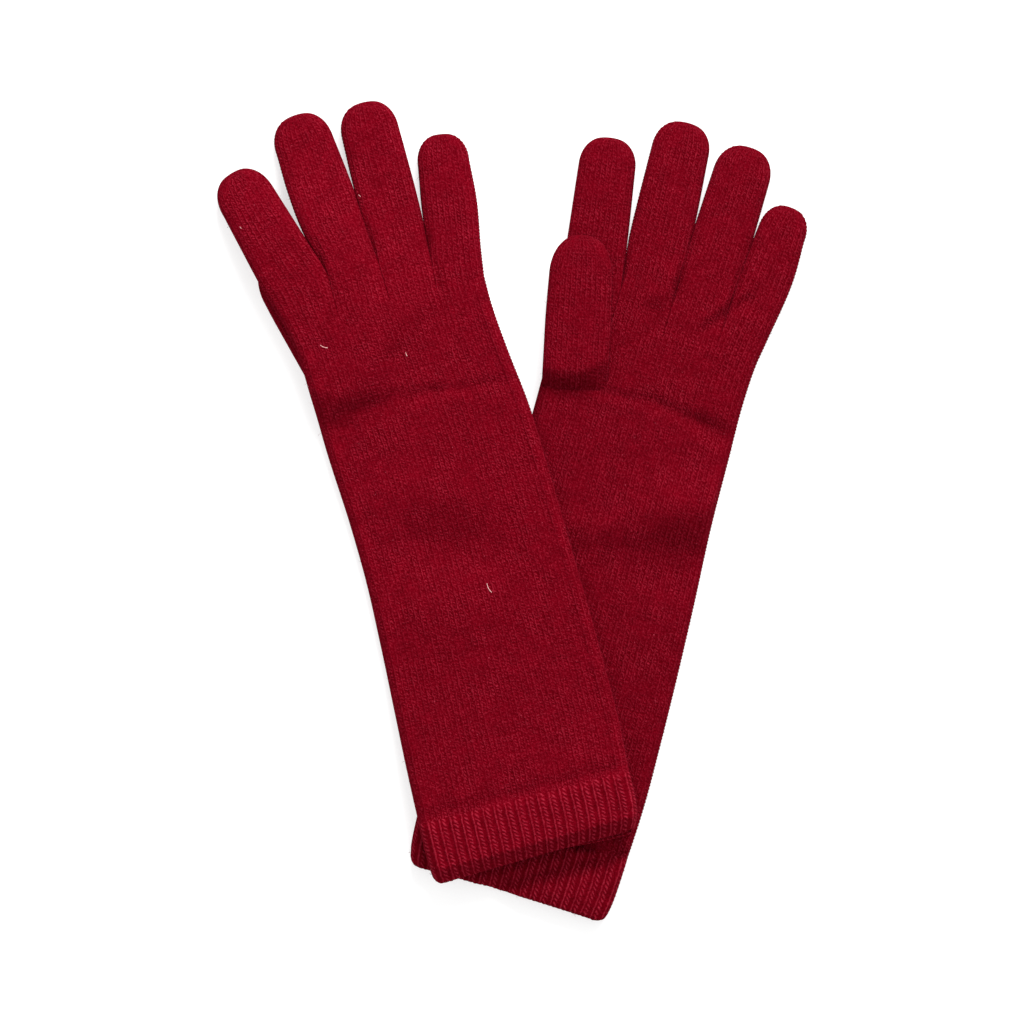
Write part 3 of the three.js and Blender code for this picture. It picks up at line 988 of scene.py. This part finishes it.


# Colours by the height of the knitted surface, as linear red, green and blue: painted shade in the gaps, the
# wool's own red in between, and a painted highlight on the stitches.
WOOL_AND_PAINTED_LIGHT = ((0.064, 0.0, 0.0014), (0.113, 0.0005, 0.0045), (0.226, 0.0105, 0.0235))
RIB_WOOL_AND_PAINTED_LIGHT = ((0.064, 0.0, 0.0014), (0.118, 0.0007, 0.005), (0.24, 0.013, 0.027))
# The left glove's darker copies of the wool are painted shade: it lies under the right one.
PLAIN = {"left": knit_material("left_plain_knit", False, 11.0, WOOL_AND_PAINTED_LIGHT, 0.86),
         "right": knit_material("right_plain_knit", False, 47.0, WOOL_AND_PAINTED_LIGHT, 0.95)}
RIB = {"left": knit_material("left_rib_knit", True, 11.0, RIB_WOOL_AND_PAINTED_LIGHT, 0.93),
       "right": knit_material("right_rib_knit", True, 47.0, RIB_WOOL_AND_PAINTED_LIGHT, 1.0)}


def lint_material():
    n = Nodes("pale_lint")
    place = n.new("TexCoord", {}).outputs["Object"]
    tint = n.ramp(n.noise(place, 900), [(0.35, (0.42, 0.14, 0.15)), (0.65, (0.62, 0.36, 0.34))])
    n.set(n.shader, {"Base Color": tint, "Roughness": 0.9, "Specular IOR Level": 0.1})
    return n.material


# ---------------- putting it together

def dress(glove):
    """Gives each piece its material, ties the cuff and forearm to the CAD forearm body, and hides the CAD
    parts that the knitted pieces stand in for.
    """
    side = glove["side"]
    made = glove["made"]

    def at(u, v):
        x, y = to_table(glove, u, v)
        return (x * MM, y * MM, THICK / 2 * MM)

    for part, obj in made.items():
        obj.data.materials.append((RIB if part == "cuff" else PLAIN)[side])
    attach(made["cuff"], f"{side}_forearm")
    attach(made["forearm"], f"{side}_forearm")
    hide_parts(f"{side}_cuff")
    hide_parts(f"{side}_forearm")
    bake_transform(made["hand"])
    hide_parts(f"{side}_hand")
    for name, finger in glove["fingers"].items():
        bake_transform(made[name])
        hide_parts(f"{side}_{name}_finger")
    if side == "left":
        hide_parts("left_index_finger", "left_index_finger_root")
    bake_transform(made["thumb"])
    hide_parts(f"{side}_thumb")


# Pale fibres caught on the right glove: the body they lie on, (u, v) of one end, direction and length.
LINT = [("forearm", (9.3, 126.0), -72, 4.6),
        ("hand", (-36.5, 247.5), -30, 3.6),
        ("hand", (-0.4, 235.4), -80, 2.0),
        ("index_finger", (-58.3, 307.8), -60, 1.0),
        ("middle_finger", (-3.4, 308.8), -50, 1.1)]


def lint_path(glove, u, v, direction, length):
    """Six points of a bent fibre that lies on the glove, from (u, v) on."""
    t = np.linspace(0, 1, 6)
    angle = math.radians(direction) + 0.7 * (t - 0.5)
    us = u + length * np.concatenate([[0], np.cumsum(np.cos(angle[:-1]))]) / 5
    vs = v + length * np.concatenate([[0], np.cumsum(np.sin(angle[:-1]))]) / 5
    z = bed(glove, us, vs) + wrinkles(glove, us, vs) + THICK + TABLE_CLEARANCE + RELIEF + 0.35
    return to_world(glove, us, vs, z)


def lay_lint(glove, wool):
    """One piece for each body that has lint on it."""
    for body in sorted({entry[0] for entry in LINT}):
        points, faces = [], []
        for _, (u, v), direction, length in [entry for entry in LINT if entry[0] == body]:
            path = lint_path(glove, u, v, direction, length)
            across = np.cross([0, 0, 1], np.gradient(path, axis=0))
            across /= np.linalg.norm(across, axis=1, keepdims=True)
            first = len(points) * 12 + 2 * np.arange(5)[:, None]
            faces.append(first + np.array([0, 1, 3, 2]))
            points.append(ribbon(path, across, LINT_HALF))
        faces = np.concatenate(faces)
        lint = make_object(f"right_{body}_lint", np.concatenate(points), faces, np.zeros((len(faces), 4, 2)))
        lint.data.materials.append(wool)
        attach(lint, f"right_{body}")


for glove in (LEFT, RIGHT):
    place_glove(glove)
for glove in (LEFT, RIGHT):
    build_arm(glove)
    splits = split_columns(glove)
    for k, name in enumerate(glove["fingers"]):
        build_finger(glove, name, k, splits)
    build_thumb(glove)
    dress(glove)
lay_lint(RIGHT, lint_material())


# ---------------- floor, light and camera

def make_floor(half, z):
    """A pale sheet under the gloves."""
    mesh = bpy.data.meshes.new("floor")
    corners = [(-half, -half, z), (half, -half, z), (half, half, z), (-half, half, z)]
    mesh.from_pydata(corners, [], [(0, 1, 2, 3)])
    paper = Nodes("pale_paper")
    paper.set(paper.shader, {"Base Color": (0.45, 0.45, 0.45, 1), "Roughness": 0.9,
                             "Emission Color": (1, 1, 1, 1), "Emission Strength": 0.6})
    mesh.materials.append(paper.material)
    new_object("floor", mesh)


def make_light(name, place, size, power):
    """A rectangular lamp that faces the middle of the table."""
    data = bpy.data.lights.new(name, "AREA")
    data.shape, data.size, data.size_y, data.energy = "RECTANGLE", size[0], size[1], power
    light = new_object(name, data)
    light.location = place
    light.rotation_mode = "QUATERNION"
    light.rotation_quaternion = (-Vector(place)).to_track_quat("-Z", "Y")


def make_world(strength):
    world = bpy.data.worlds.new("studio")
    bpy.context.scene.world = world
    world.use_nodes = True
    background = world.node_tree.nodes["Background"]
    background.inputs["Color"].default_value = (1, 1, 1, 1)
    background.inputs["Strength"].default_value = strength


def make_camera(height, view_width):
    """A camera above the middle of the table, which sees view_width of it."""
    data = bpy.data.cameras.new("overhead")
    data.sensor_width = 36
    data.lens = data.sensor_width * height / view_width
    camera = new_object("overhead", data)
    camera.location = (0, 0, height)
    bpy.context.scene.camera = camera


make_floor(3.0, -0.0003)
make_light("window", (0.35, 1.2, 0.95), (1.0, 0.6), 43)
make_world(0.98)
make_camera(2.2, 0.4608)
bpy.context.scene.view_settings.view_transform = "Standard"
